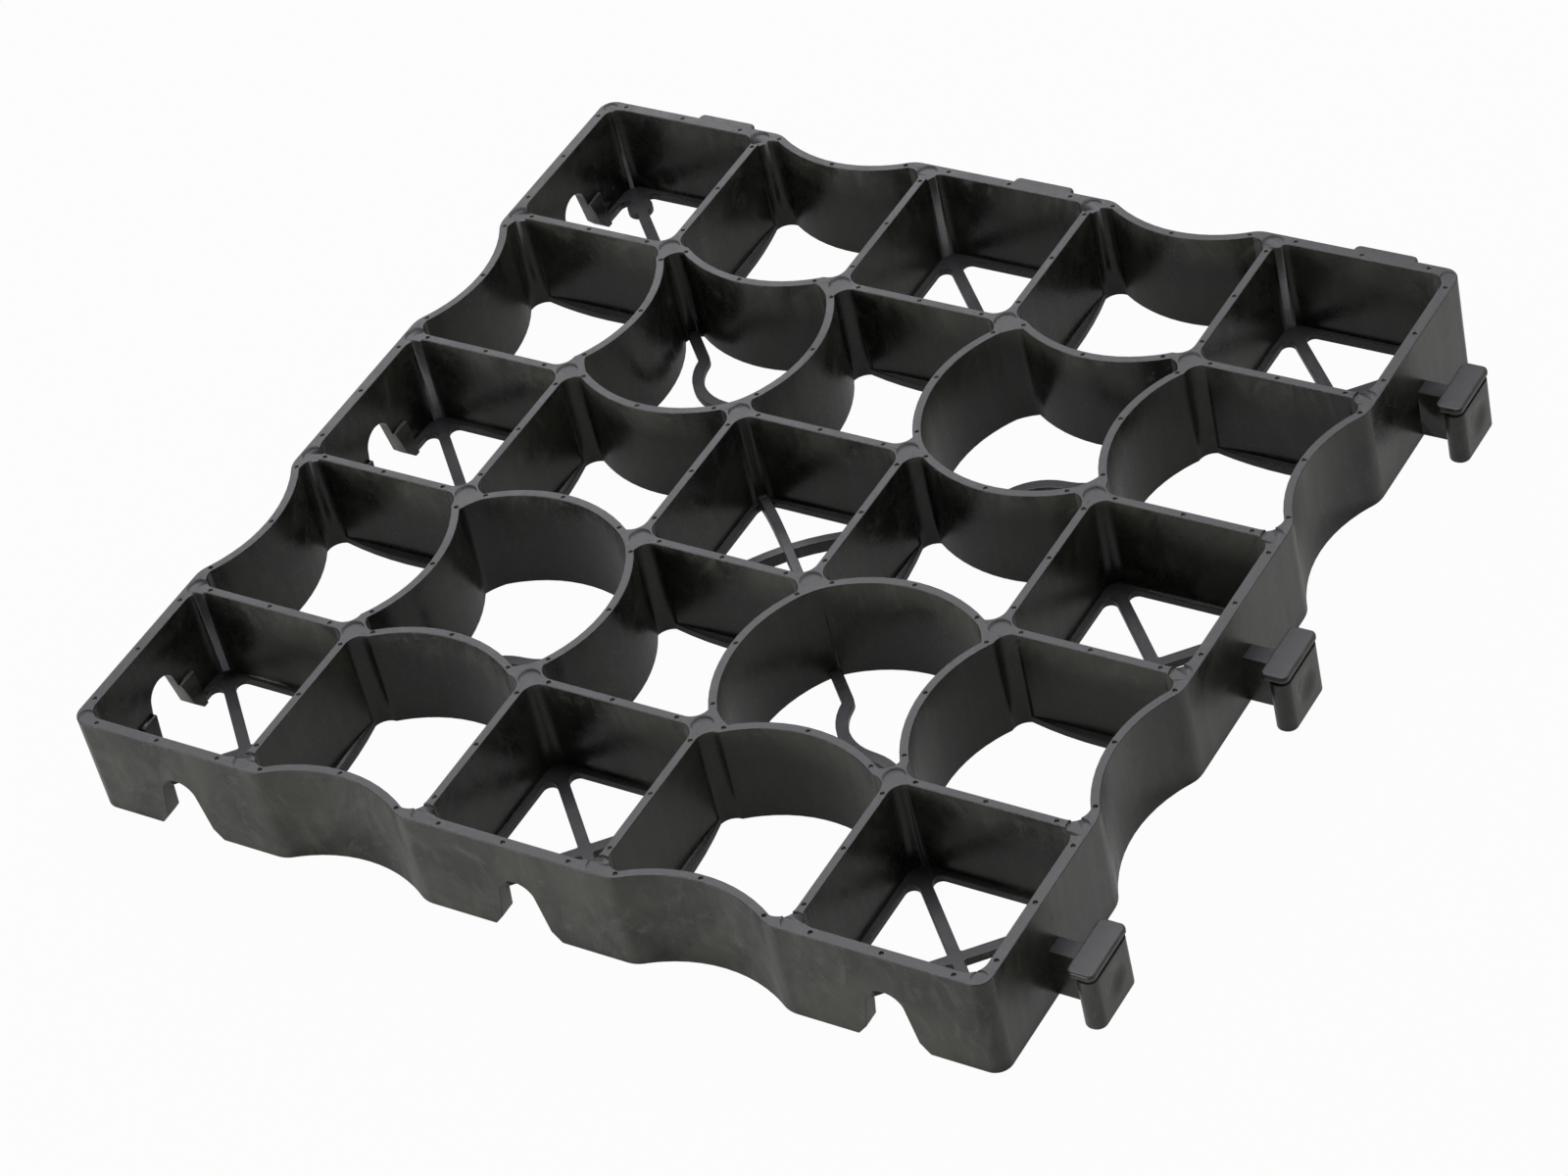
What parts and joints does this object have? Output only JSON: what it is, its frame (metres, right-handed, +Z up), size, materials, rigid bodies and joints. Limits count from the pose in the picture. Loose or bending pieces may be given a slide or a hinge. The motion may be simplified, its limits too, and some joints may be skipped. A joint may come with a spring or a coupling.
{
  "type": "grass paver grid",
  "caption": "Square black plastic ground grid with open square and wave-walled cells, crossed foot bars, and coupling hooks on two sides that drop into slots of the next tile.",
  "frame": {"origin": "middle of the footprint, hooks included, on the ground", "axes": "+Z up out of the ground; hooks on the +X and +Y sides, slots on the -X and -Y sides"},
  "size_m": [0.352, 0.352, 0.038],
  "materials": {
    "grid_plastic": "satin black recycled plastic"
  },
  "bodies": {
    "root": {"paver_grid": "grid_plastic"}
  },
  "joints": []
}
